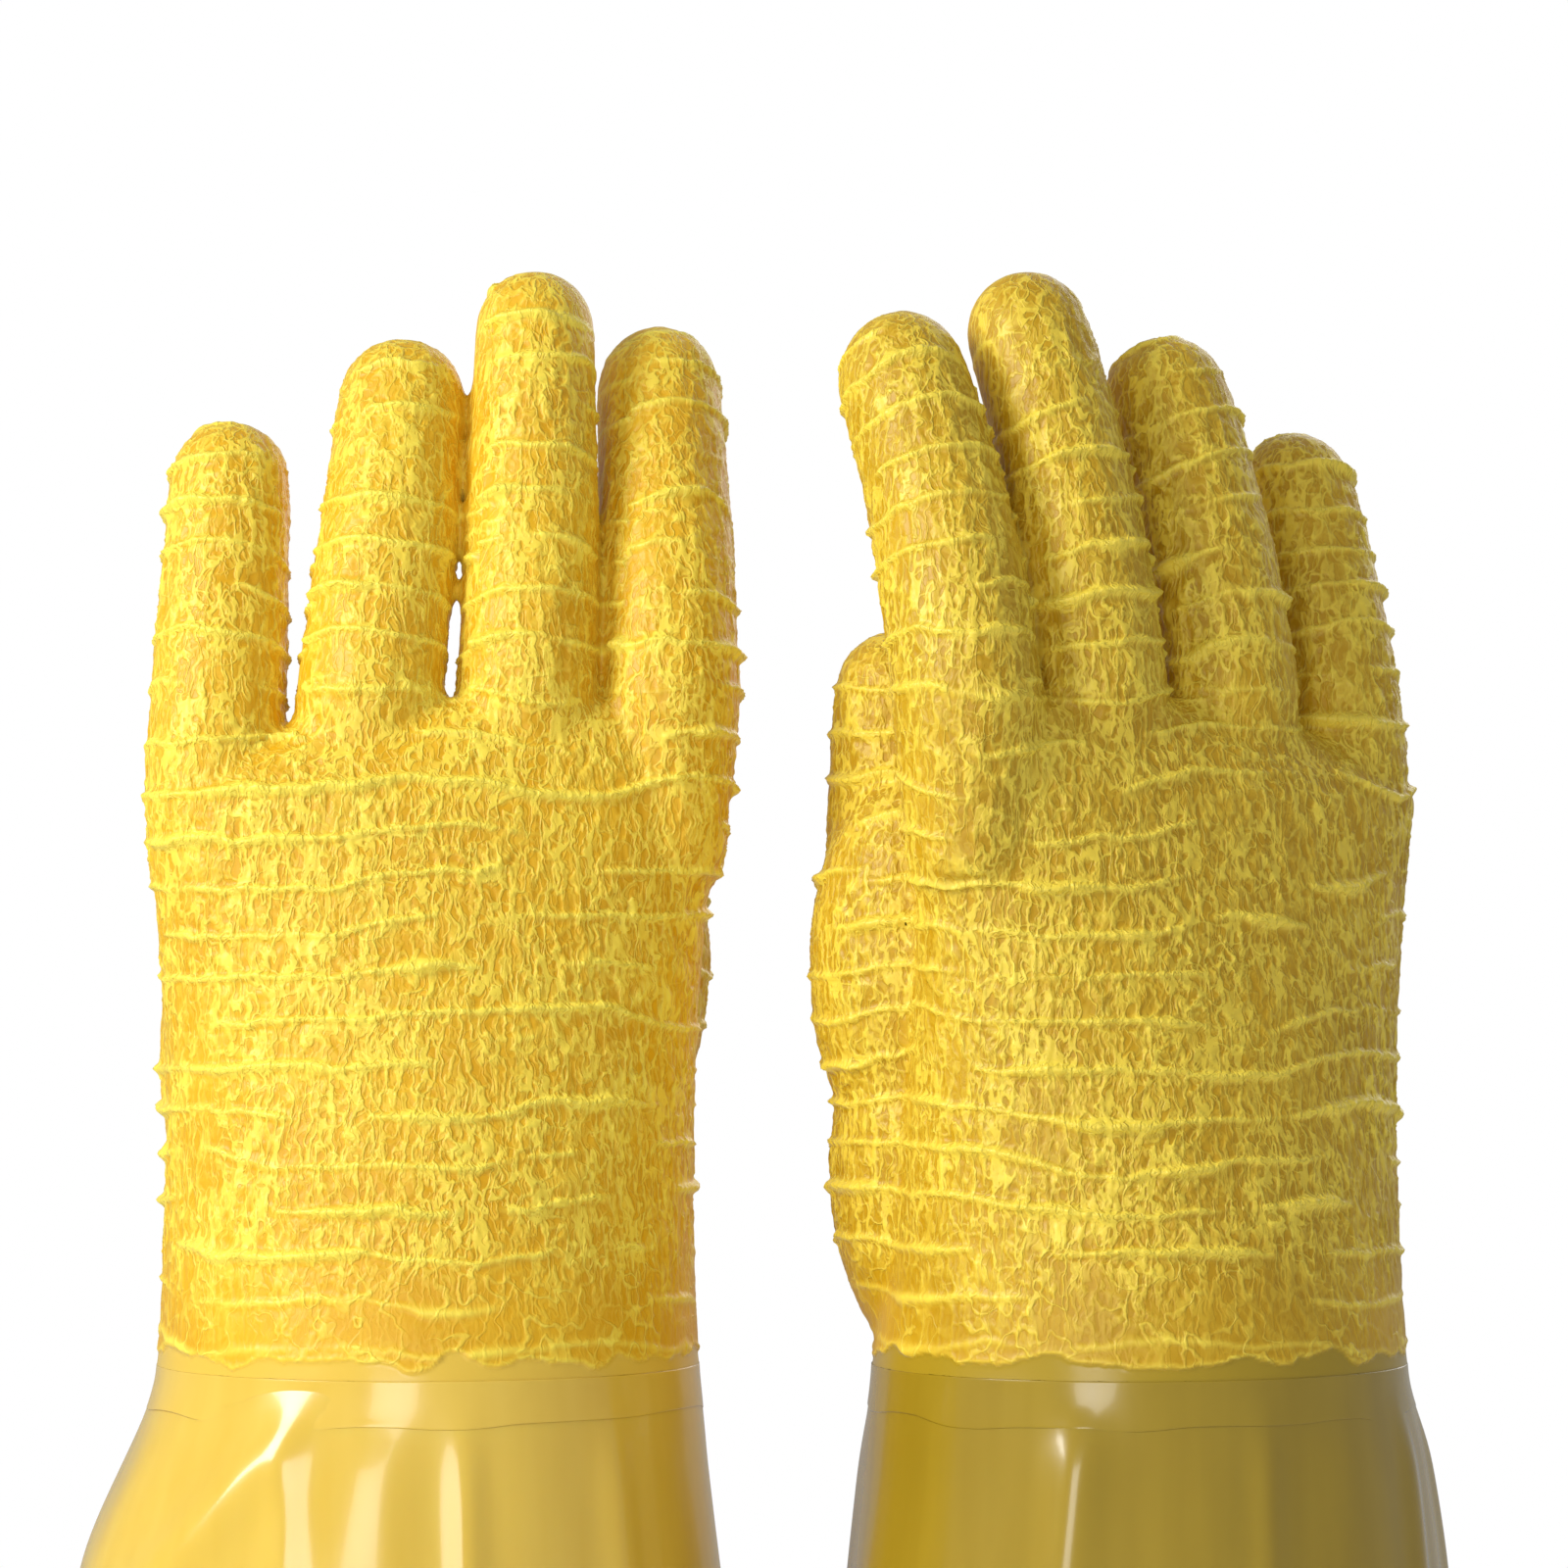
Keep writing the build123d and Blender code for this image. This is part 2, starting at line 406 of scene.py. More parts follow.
@dataclass(frozen=True)
class Digit:
    """A finger or the thumb, in millimetres and degrees."""

    region: Region
    root: tuple[float, float, float]  # sideways, palmwards and up, from the cuff's mouth
    length: float
    half_width: float
    half_depth: float
    stub: float
    stub_flare: float
    tilt: float
    bend: float
    lean: float
    tip_ratio: float = 0.87
    bend_from: float = 0.8  # how far above the root a line along the digit starts; hang works it out, but nothing follows it
    bend_to: float = 26.0

    @property
    def radius(self) -> float:
        """The radius of the arc along which the digit bends."""
        return self.length / math.radians(self.bend)

    @property
    def sink_angle(self) -> float:
        """How far its hidden stub leans palmwards as it rises, in radians."""
        return math.radians(self.tilt if self.region is Region.THUMB else 0.0)

    def column(self, inset: float) -> Piece:
        """Models the digit upright and smaller by inset all round, then bends it to its rest."""
        dome = self.half_depth * self.tip_ratio - inset
        body = self.length - inset - dome
        wide, deep = self.half_width - inset, self.half_depth - inset
        rings = [Ring(0, 0, -self.stub, wide * self.stub_flare, deep * self.stub_flare)]
        for share in (0.0, 0.12, 0.28, 0.42, 0.55, 0.7, 0.85, 1.0):
            knuckle = 1 + 0.02 * math.exp(-(((share - 0.45) / 0.1) ** 2))
            taper = (1 + (self.tip_ratio - 1) * share) * knuckle
            rings.append(Ring(0, 0, body * share, wide * taper, deep * taper))
        for angle in (18, 36, 52, 66, 78, 86):
            narrow = math.cos(math.radians(angle)) ** 0.9 * self.tip_ratio
            height = body + dome * math.sin(math.radians(angle))
            rings.append(Ring(0, 0, height, wide * narrow, deep * narrow))
        piece = Bench.column(self.region.value, rings, DIGIT_SIDES)
        Bench.move_points(piece, self.bent(Bench.points(piece)))
        return piece

    def bent(self, upright: Points) -> Points:
        """Where the points of the upright digit lie once it rests."""
        tilt = math.radians(self.tilt)
        above = np.maximum(upright[:, 2], 0)
        below = np.minimum(upright[:, 2], 0)
        turn = tilt + above / self.radius
        out = self.radius * (math.cos(tilt) - np.cos(turn)) + below * math.sin(self.sink_angle)
        up = self.radius * (np.sin(turn) - math.sin(tilt)) + below
        y = out + upright[:, 1] * np.cos(turn)
        z = up - upright[:, 1] * np.sin(turn)
        cos, sin = math.cos(math.radians(self.lean)), math.sin(math.radians(self.lean))
        x = upright[:, 0]
        return np.column_stack((x * cos + z * sin, y, z * cos - x * sin)) + np.array(self.root)

    def upright(self, places: Points) -> Points:
        """The reverse of bent: sideways, depthwise and lengthwise places along the digit."""
        tilt, lean = math.radians(self.tilt), math.radians(self.lean)
        x, y, z = (places - np.array(self.root)).T
        x, z = x * math.cos(lean) - z * math.sin(lean), z * math.cos(lean) + x * math.sin(lean)
        straight = y * math.sin(tilt) + z * math.cos(tilt)
        across = y - z * math.sin(self.sink_angle)
        from_y = y - self.radius * math.cos(tilt)
        from_z = z + self.radius * math.sin(tilt)
        turn = np.arctan2(from_z / self.radius, -from_y / self.radius)
        along = (turn - tilt) * self.radius
        off = (abs(self.radius) - np.hypot(from_y, from_z)) * math.copysign(1, self.radius)
        above = straight > 0
        return np.column_stack((x, np.where(above, off, across), np.where(above, along, straight)))

    def nearness(self, upright: Points) -> Points:
        """How many half widths each point lies from the digit's middle line."""
        return np.hypot(upright[:, 0] / self.half_width, upright[:, 1] / self.half_depth)


@dataclass(frozen=True)
class Hand:
    """The form of one hand as a right hand in its own frame, in millimetres."""

    digits: tuple[Digit, ...]
    cuff_length: float = 142.0
    palm_length: float = 114.0
    wrist_half_width: float = 54.3
    wrist_half_depth: float = 52.0
    knuckle_half_width: float = 57.5
    knuckle_half_depth: float = 19.0
    knuckle_backset: float = 11.0
    waist: float = 3.2
    voxel: float = 1.1

    def palm_ring(self, share: float) -> Ring:
        """The palm's outline, the given share of the way from the wrist to the knuckles."""
        waist = self.waist * 4 * share * (1 - share)
        wide = self.wrist_half_width + (self.knuckle_half_width - self.wrist_half_width) * share
        deep = self.wrist_half_depth + (self.knuckle_half_depth - self.wrist_half_depth) * share
        height = self.cuff_length + self.palm_length * share
        return Ring(0, -self.knuckle_backset * share, height, wide - waist, deep)

    def web_rings(self) -> list[Ring]:
        """The palm's outlines above the knuckles, where it thins into the webs between fingers."""
        top = self.cuff_length + self.palm_length
        return [
            Ring(-2.5, -11.2, top + 4, 54, 17.3),
            Ring(-7, -11.6, top + 9, 47, 15.2),
            Ring(-12, -12, top + 14, 38, 12.5),
            Ring(-15, -12.3, top + 18, 31, 9),
        ]

    def pads(self) -> list[Piece]:
        """The ball of the thumb and the heel of the hand."""
        plans = (
            ("thumb_ball", (-37, 23, 222), (22.5, 22, 42)),
            ("thumb_heel", (-33, 22, 181), (22, 23, 42)),
            ("palm_heel", (34, 8, 203), (19, 20, 45)),
        )
        return [Bench.pad(*plan) for plan in plans]

    def form(self, voxel: float, name: str, inset: float = 0.0) -> Piece:
        """Melts the palm, the digits and the pads into one smooth closed hand.

        Args:
            voxel: The size of its faces, in millimetres.
            name: The object's name.
            inset: How much smaller the form is on every side, in millimetres.

        Returns:
            The new object in the hand's own frame, with its wrist run on below the coat's edge.
        """
        wide, deep = self.wrist_half_width + 3.5, self.wrist_half_depth + 1.5
        low = Ring(0.3, 0, self.cuff_length - 16, wide, deep)
        rings = [low] + [self.palm_ring(share / 10) for share in range(11)] + self.web_rings()
        rings = [Ring(r.x, r.y, r.z, r.half_width - inset, r.half_depth - inset) for r in rings]
        parts = [Bench.column("palm", rings, PALM_SIDES)]
        parts += [digit.column(inset) for digit in self.digits]
        parts += self.pads()
        hand = Bench.join(parts, name)
        Bench.modify(hand, "REMESH", mode="VOXEL", voxel_size=voxel * MM)
        rounds = max(4, round(22 * (self.voxel / voxel) ** 2))
        Bench.modify(hand, "SMOOTH", factor=0.6, iterations=rounds)
        return hand

    def regions(self, places: Points) -> Points:
        """The number of the digit that each place is on, or -1 on the palm."""
        nearest = np.full(len(places), np.inf)
        owner = np.full(len(places), -1)
        for number, digit in enumerate(self.digits):
            upright = digit.upright(places)
            near = digit.nearness(upright)
            missed = (upright[:, 2] < -digit.stub) | (upright[:, 2] > 1.1 * digit.length)
            if digit.region is Region.THUMB:
                missed |= near > 1.6
            near[missed] = np.inf
            better = near < nearest
            nearest[better] = near[better]
            owner[better] = np.where(upright[better, 2] > 0, number, -1)
        owner[nearest > 1.9] = -1
        return owner


# --- Materials ---


def linear(red: int, green: int, blue: int) -> tuple[float, float, float, float]:
    """A display colour from 0 to 255 as the linear colour that a shader takes."""
    channels = []
    for value in (red, green, blue):
        share = value / 255
        channels.append(share / 12.92 if share <= 0.04045 else ((share + 0.055) / 1.055) ** 2.4)
    return (*channels, 1.0)


class Signal:
    """A node's output that can be used in a Python expression."""

    def __init__(self, tree: bpy.types.NodeTree, socket: bpy.types.NodeSocket) -> None:
        """Keeps the tree and the socket."""
        self.tree = tree
        self.socket = socket

    def _maths(self, operation: str, first: object, second: object) -> "Signal":
        """Adds one Math node."""
        node = self.tree.nodes.new("ShaderNodeMath")
        node.operation = operation
        for slot, value in zip(node.inputs, (first, second)):
            if isinstance(value, Signal):
                self.tree.links.new(value.socket, slot)
            else:
                slot.default_value = value
        return Signal(self.tree, node.outputs[0])

    def __add__(self, other: object) -> "Signal":
        """Adds."""
        return self._maths("ADD", self, other)

    def __sub__(self, other: object) -> "Signal":
        """Subtracts."""
        return self._maths("SUBTRACT", self, other)

    def __mul__(self, other: object) -> "Signal":
        """Multiplies."""
        return self._maths("MULTIPLY", self, other)

    def __rsub__(self, other: object) -> "Signal":
        """Subtracts from a number."""
        return self._maths("SUBTRACT", other, self)

    __radd__ = __add__
    __rmul__ = __mul__

    def clamped(self) -> "Signal":
        """Limits the value to 0 to 1."""
        return self._maths("MINIMUM", self._maths("MAXIMUM", self, 0.0), 1.0)


class Paint:
    """A new material and the one method that adds its nodes."""

    def __init__(self, name: str) -> None:
        """Makes a material with a bare Principled shader."""
        self.material = bpy.data.materials.new(name)
        self.material.use_nodes = True
        self.tree = self.material.node_tree
        self.shader = self.tree.nodes["Principled BSDF"]

    def node(self, kind: str, settings: dict, **sockets: object) -> bpy.types.Node:
        """Adds a node.

        Args:
            kind: The node's type, without ShaderNode.
            settings: Its settings, such as an operation, which are set first.
            sockets: What each socket takes, by its name with _ for a space.

        Returns:
            The node.
        """
        node = self.tree.nodes.new("ShaderNode" + kind)
        for name, value in settings.items():
            setattr(node, name, value)
        for name, value in sockets.items():
            self.feed(node.inputs[name.replace("_", " ")], value)
        return node

    def feed(self, socket: bpy.types.NodeSocket, value: object) -> None:
        """Links a signal or a node's first output to a socket, or sets its value."""
        if isinstance(value, Signal):
            value = value.socket
        elif isinstance(value, bpy.types.Node):
            value = value.outputs[0]
        if isinstance(value, bpy.types.NodeSocket):
            self.tree.links.new(value, socket)
        else:
            socket.default_value = value

    def signal(self, node: bpy.types.Node, output: str) -> Signal:
        """One output of a node, for use in an expression."""
        return Signal(self.tree, node.outputs[output])

    def attribute(self, name: str) -> Signal:
        """A value stored on the vertices."""
        return self.signal(self.node("Attribute", {"attribute_name": name}), "Fac")

    def noise(self, size: tuple, scale: float, detail: float) -> Signal:
        """Noise on the object's own coordinates, stretched by size."""
        place = self.node("TexCoord", {}).outputs["Object"]
        stretched = self.node("Mapping", {}, Vector=place, Scale=size)
        noise = self.node("TexNoise", {}, Vector=stretched, Scale=scale, Detail=detail)
        return self.signal(noise, "Fac")

    def warped(self, scale: float, reach: float) -> bpy.types.NodeSocket:
        """The object's own coordinates, pushed about by noise up to half of reach in metres."""
        place = self.node("TexCoord", {}).outputs["Object"]
        noise = self.node("TexNoise", {}, Vector=place, Scale=scale, Detail=2.0).outputs["Color"]
        centred = self.node("VectorMath", {"operation": "SUBTRACT"}, Vector=noise)
        centred.inputs[1].default_value = (0.5, 0.5, 0.5)
        push = self.node("VectorMath", {"operation": "SCALE"}, Vector=centred, Scale=reach)
        moved = self.node("VectorMath", {"operation": "ADD"}, Vector=place)
        self.feed(moved.inputs[1], push)
        return moved.outputs[0]

    def veins(self, place: object, size: tuple, scale: float, thinness: float) -> Signal:
        """Thin wandering lines, from 0 between them to 1 along their middles."""
        stretched = self.node("Mapping", {}, Vector=place, Scale=size)
        noise = self.node("TexNoise", {}, Vector=stretched, Scale=scale, Detail=1.0, Roughness=0.4)
        away = (self.signal(noise, "Fac") - 0.5) * thinness
        return (1 - away * away).clamped()

    def mix(self, share: Signal, low: object, high: object) -> bpy.types.NodeSocket:
        """Mixes two colours, each a value or another mix."""
        node = self.tree.nodes.new("ShaderNodeMix")
        node.data_type = "RGBA"
        self.feed(node.inputs["Factor"], share)
        self.feed(node.inputs[6], low)
        self.feed(node.inputs[7], high)
        return node.outputs[2]

    def set(self, **values: object) -> None:
        """Sets the shader's own sockets, by name with _ for a space."""
        for name, value in values.items():
            self.feed(self.shader.inputs[name.replace("_", " ")], value)


@dataclass(frozen=True)
class CrinkledCoat:
    """Satin latex, pale lemon along its raised wrinkles and amber between them."""

    name: str
    ground: tuple = linear(233, 181, 16)
    deep: tuple = linear(217, 162, 6)
    ridge: tuple = linear(255, 232, 84)
    bare: tuple = linear(228, 192, 74)

    def material(self) -> bpy.types.Material:
        """Builds the material."""
        paint = Paint(self.name)
        pale = paint.attribute("pale")
        covered = paint.attribute("covered")
        calm = paint.attribute("calm")
        place = paint.warped(210.0, 0.0034)
        long = paint.veins(place, (1, 1, 0.24), 450.0, 13.0)
        short = paint.veins(place, (1, 1, 0.3), 720.0, 12.0)
        branch = paint.veins(place, (0.8, 0.8, 0.8), 230.0, 24.0)
        patch = (paint.noise((1, 1, 0.6), 120.0, 1.0) * 3.2 - 1.05).clamped()
        dense = (long + short * 0.45) * (patch * 0.5 + 0.5) * (1 - calm * 0.8)
        lines = (dense + branch * (patch * 0.6 + 0.1)).clamped()
        cloud = (paint.noise((1, 1, 1), 38.0, 2.0) * 2.4 - 0.7).clamped()
        ground = paint.mix(cloud, self.deep, self.ground)
        fine = (pale * 0.95 + lines * 0.72).clamped()
        coat = paint.mix(fine, ground, self.ridge)
        paint.set(Base_Color=paint.mix(covered, self.bare, coat))
        paint.set(Roughness=covered * 0.22 + 0.24 - pale * 0.04)
        relief = paint.node("Bump", {}, Strength=0.65, Distance=0.00045, Height=lines * covered)
        paint.set(Normal=relief)
        paint.set(Specular_IOR_Level=0.4, Coat_Weight=0.08, Coat_Roughness=0.3)
        paint.set(Subsurface_Weight=0.06, Subsurface_Scale=0.0012)
        paint.set(Subsurface_Radius=(1.0, 0.7, 0.2))
        return paint.material


@dataclass(frozen=True)
class SmoothLatex:
    """Glossy latex, slightly see-through, of the cuff and of the layer under the coat."""

    name: str
    body: tuple = linear(236, 202, 88)
    shade: tuple = linear(220, 182, 62)
    roughness: float = 0.2
    glow: float = 0.2  # how much light sinks in, which a film too thin to hold it does without

    def material(self) -> bpy.types.Material:
        """Builds the material."""
        paint = Paint(self.name)
        cloud = paint.noise((1, 1, 0.35), 16.0, 3.0)
        streak = paint.noise((1, 1, 0.06), 170.0, 2.0)
        share = (cloud * 2.2 - 0.65 + (streak - 0.5) * 0.7).clamped()
        paint.set(Base_Color=paint.mix(share, self.shade, self.body))
        paint.set(Roughness=streak * 0.12 + (self.roughness - 0.05))
        ripple = paint.noise((1, 1, 0.5), 90.0, 2.0)
        relief = paint.node("Bump", {}, Strength=0.12, Distance=0.0006, Height=ripple)
        paint.set(Normal=relief)
        paint.set(Specular_IOR_Level=0.5, Coat_Weight=0.35, Coat_Roughness=0.08)
        paint.set(Subsurface_Weight=self.glow, Subsurface_Scale=0.004)
        paint.set(Subsurface_Radius=(1.0, 0.6, 0.15))
        return paint.material


# --- The gloves ---


@dataclass(frozen=True)
class Fold:
    """A soft ridge or valley that runs down a cuff.

    Angles are degrees round the cuff from the middle of the hand's back, towards the little
    finger. Heights and sizes are millimetres.
    """

    top_angle: float
    low_angle: float
    top: float
    low: float
    height: float
    half_width: float

    def lift(self, angle: Points, height: Points, reach: float) -> Points:
        """How far the fold pushes each point outwards.

        Args:
            angle: Each point's angle in degrees.
            height: Each point's height.
            reach: The cuff's mean radius.

        Returns:
            The outward moves in millimetres.
        """
        share = np.clip((self.top - height) / (self.top - self.low), 0, 1)
        middle = self.top_angle + (self.low_angle - self.top_angle) * share
        away = np.radians((angle - middle + 180) % 360 - 180) * reach
        fade = band(share, 0.0, 0.22, 0.62, 1.0)
        return self.height * fade * np.exp(-((away / self.half_width) ** 2))


@dataclass(frozen=True)
class CuffForm:
    """The flared cuff, in millimetres in the glove's own frame."""

    folds: tuple[Fold, ...]
    bulge: float
    bulge_angle: float
    opening: float  # how quickly the cuff opens below the wrist
    length: float = 142.0
    half_width: float = 69.5
    half_depth: float = 60.0
    outward: float = 3.0
    wrist_half_width: float = 54.3
    wrist_half_depth: float = 52.0
    wall: float = 1.6
    bead_height: float = 5.0
    bead_standout: float = 1.4
    margin_height: float = 9.0
    margin_wall: float = 0.12
    wave_height: float = 2.2
    bend_from: float = 58.0  # how far below the wrist a line along the cuff starts; hang_cuff works it out, but nothing bends with it
    bend_to: float = 1.5

    def flare(self, share: float) -> float:
        """From 0 at the wrist to 1 at the mouth: how far the cuff has opened."""
        soft = 0.1
        at_soft = 1 - (1 - soft) ** self.opening
        return 1 - (1 - share) ** self.opening if share > soft else at_soft * (share / soft) ** 1.4

    def ring(self, height: float, inset: float = 0.0) -> Ring:
        """The cuff's outline at a height, smaller by inset all round."""
        opened = self.flare((self.length - height) / self.length)
        wide = self.wrist_half_width + (self.half_width - self.wrist_half_width) * opened
        deep = self.wrist_half_depth + (self.half_depth - self.wrist_half_depth) * opened
        return Ring(self.outward * opened, 0, height, wide - inset, deep - inset)

    def pushed(self, places: Points) -> Points:
        """Moves points outwards by the cuff's folds and its bulge."""
        outwards = places[:, :2] / np.linalg.norm(places[:, :2], axis=1)[:, None]
        angle = np.degrees(np.arctan2(places[:, 0], -places[:, 1]))
        height = places[:, 2]
        lift = sum(fold.lift(angle, height, self.wrist_half_width) for fold in self.folds)
        from_bulge = (angle - self.bulge_angle + 180) % 360 - 180
        sides = np.exp(-((from_bulge / 48) ** 2))
        lift = lift + self.bulge * sides * band(height, 18, 84, 98, self.length - 1)
        wave = Grain(77).at(places / np.array((19.0, 19.0, 60.0))) - 0.5
        lift = lift + wave * self.wave_height * band(height, 8, 30, 122, self.length - 4)
        moved = places.copy()
        moved[:, :2] += outwards * lift[:, None]
        return moved


@dataclass
class Glove:
    """One glove: its cuff, its insulating shell and its crinkled grip coat."""

    side: Side
    hand: Hand
    cuff: CuffForm
    crinkle: Crinkle
    coat: CrinkledCoat
    latex: SmoothLatex
    film: SmoothLatex
    coat_wall: float = 0.9
    shell_wall: float = 1.6
    inner_voxel: float = 2.0

    def __post_init__(self) -> None:
        """Reads where the glove stands from the frame."""
        low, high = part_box(self.node("dip_band"))
        self.middle = np.array((low + high) / 2) / MM
        self.middle[2] = 0
        axis = self.joint("wrist_flex")["axis"]
        self.yaw = math.atan2(-axis[1], -axis[0])
        self.coat_material = self.coat.material()
        self.latex_material = self.latex.material()
        self.film_material = self.film.material()

    def node(self, name: str) -> str:
        """A CAD node's full name."""
        return f"{self.side.value}_{name}"

    def joint(self, name: str) -> dict:
        """One of the glove's joints, as the frame states it."""
        return next(joint for joint in frame["joints"] if joint["name"] == self.node(name))

    def to_row(self, places: Points) -> Points:
        """Takes places from the hand's own frame to the row's frame."""
        x, y, z = places.T
        x = -x if self.side is Side.LEFT else x
        cos, sin = math.cos(self.yaw), math.sin(self.yaw)
        return np.column_stack((x * cos - y * sin, x * sin + y * cos, z)) + self.middle

    def point(self, x: float, y: float, z: float) -> Vector:
        """One place of the hand's own frame in the row's frame, in metres."""
        return Vector(self.to_row(np.array([[x, y, z]]))[0] * MM)

    def seat(self, piece: Piece, node: str, slot: str) -> None:
        """Puts a finished piece in its place and dresses it.

        Args:
            piece: The piece, modelled in the hand's own frame.
            node: The CAD node that it stands for, without the side.
            slot: The material slot that it takes its finish from.
        """
        Bench.move_points(piece, self.to_row(Bench.points(piece)))
        if self.side is Side.LEFT:
            Bench.flip(piece)
        Bench.smooth(piece)
        piece.data.materials.clear()
        if slot == "insulating_shell":
            piece.data.materials.append(self.latex_material)
        else:
            crinkled = "pale" in piece.data.attributes
            piece.data.materials.append(self.coat_material if crinkled else self.film_material)
        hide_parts(self.node(node))
        LOG.info("%s: %d faces", piece.name, len(piece.data.polygons))

    def hang(self, piece: Piece, digit: Digit | None) -> None:
        """Makes a palm piece follow the palm; a digit's piece is only baked in place."""
        palm = self.node("palm")
        if digit is None:
            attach(piece, palm)
            return
        line = digit.bent(np.array([[0, 0, digit.bend_from], [0, 0, digit.bend_to]]))
        start, end = (self.point(*place) for place in line)
        self.node(digit.region.value)
        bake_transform(piece)

    def build_coat(self) -> None:
        """Models the crinkled coat and parts it at the roots of the digits."""
        hand = self.hand.form(self.hand.voxel, self.node("coat_form"))
        Bench.modify(hand, "SUBSURF", levels=1, render_levels=1)
        places, normals = Bench.points(hand), Bench.normals(hand)
        height, looks = self.relief(places)
        for name, values in looks.items():
            Bench.note(hand, name, values)
        middles = Bench.face_middles(hand)
        owner = self.hand.regions(middles)
        above = middles[:, 2] > self.hand.cuff_length - 0.2
        share = np.clip((middles[:, 2] - self.hand.cuff_length) / self.hand.palm_length, 0, 1)
        back = middles[:, 1] < -self.hand.knuckle_backset * share
        Bench.move_points(hand, places + normals * height[:, None])
        for number, digit in enumerate(self.hand.digits):
            node = f"{digit.region.value}_coat"
            piece = Bench.part_off(hand, owner == number, self.node(node) + "_skin")
            self.seat(piece, node, "grip_coat")
            self.hang(piece, digit)
        palm = (owner == -1) & above
        for word, chosen in (("back", back), ("front", ~back)):
            piece = Bench.part_off(hand, palm & chosen, self.node(f"palm_coat_{word}"))
            self.seat(piece, "palm_coat", "grip_coat")
            self.hang(piece, None)
        bpy.data.objects.remove(hand)

    def relief(self, places: Points) -> tuple[Points, dict[str, Points]]:
        """The coat's height and looks at each vertex of the hand.

        Args:
            places: The vertices in the hand's own frame.

        Returns:
            Heights in millimetres, and by name the values from 0 to 1 that the coat's material
            reads: how pale, how covered by the coat and how calm each vertex is.
        """
        wrist = self.hand.cuff_length
        slow = Grain(self.crinkle.seed + 20).at(places / 30.0)
        calm = 1 - step(places[:, 2] + slow * 14 - 7, wrist + 8, wrist + 34)
        across = np.exp(-(((places[:, 0] + 6) / 26) ** 2))
        zigzag = across * band(places[:, 2], wrist + 22, wrist + 45, wrist + 78, wrist + 98)
        height, pale = self.crinkle.heights(places, zigzag, calm * 0.9)
        nears = np.full((len(self.hand.digits), len(places)), np.inf)
        for number, digit in enumerate(self.hand.digits):
            upright = digit.upright(places)
            nearness = digit.nearness(upright)
            nears[number] = np.where(upright[:, 2] > 5, nearness, np.inf)
            share = step(upright[:, 2], -4.0, 5.0) * (nearness < 1.45)
            chosen = np.nonzero(share > 0)[0]
            local = upright[chosen] + np.array((number * 90.0, 0, digit.root[2]))
            none = np.zeros(len(chosen))
            tip = step(upright[chosen, 2], digit.length - 13, digit.length - 2)
            own_height, own_pale = self.crinkle.heights(local, none, none)
            own_height = own_height * (1 - 0.45 * tip)
            mixed = share[chosen]
            height[chosen] = height[chosen] * (1 - mixed) + own_height * mixed
            pale[chosen] = pale[chosen] * (1 - mixed) + own_pale * mixed
        beside = np.partition(nears, 1, axis=0)[1]
        height = height * (0.2 + 0.8 * step(beside, 1.04, 1.3))
        ragged = Grain(self.crinkle.seed + 30).at(places / np.array((7.0, 7.0, 30.0)))
        finer = Grain(self.crinkle.seed + 31).at(places / 2.2)
        edge = wrist + 0.4 + ragged * 4.6 + finer * 1.1
        covered = step(places[:, 2] - edge, -0.35, 0.35)
        rim = np.exp(-(((places[:, 2] - edge - 0.3) / 0.5) ** 2))
        height = height * covered + 0.25 * covered + 0.15 * rim
        pale = np.maximum(pale * covered, 0.55 * rim * covered)
        return height, {"pale": pale, "covered": covered, "calm": calm}

    def build_shell(self) -> None:
        """Models the insulating layer under the coat and parts it where the coat parts."""
        hand = self.hand.form(self.inner_voxel, self.node("shell_form"), self.coat_wall + 0.3)
        middles = Bench.face_middles(hand)
        owner = self.hand.regions(middles)
        above = middles[:, 2] > self.hand.cuff_length - 0.5
        for number, digit in [(-1, None), *enumerate(self.hand.digits)]:
            name = digit.region.value if digit else "palm"
            chosen = (owner == number) & above
            piece = Bench.part_off(hand, chosen, self.node(f"{name}_shell_skin"))
            Bench.modify(piece, "SOLIDIFY", thickness=self.shell_wall * MM, offset=-1.0)
            self.seat(piece, f"{name}_shell", "insulating_shell")
            self.hang(piece, digit)
        bpy.data.objects.remove(hand)

    def hang_cuff(self, piece: Piece) -> None:
        """Bakes a cuff piece's place into its mesh."""
        start = self.point(0, 0, self.cuff.length - self.cuff.bend_from)
        end = self.point(0, 0, self.cuff.length - self.cuff.bend_to)
        self.node("gauntlet")
        self.node("palm")
        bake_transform(piece)

    def build_cuff(self) -> None:
        """Models the smooth flared cuff with its folds."""
        cuff = self.cuff
        heights = np.linspace(cuff.bead_height - 1, cuff.length, 31)
        rings = [cuff.ring(height) for height in heights]
        piece = Bench.column(self.node("gauntlet_skin"), rings, CUFF_SIDES, capped=False)
        Bench.move_points(piece, cuff.pushed(Bench.points(piece)))
        Bench.modify(piece, "SOLIDIFY", thickness=cuff.wall * MM, offset=-1.0)
        Bench.modify(piece, "SUBSURF", levels=1, render_levels=1)
        self.seat(piece, "gauntlet_shell", "insulating_shell")
        self.hang_cuff(piece)

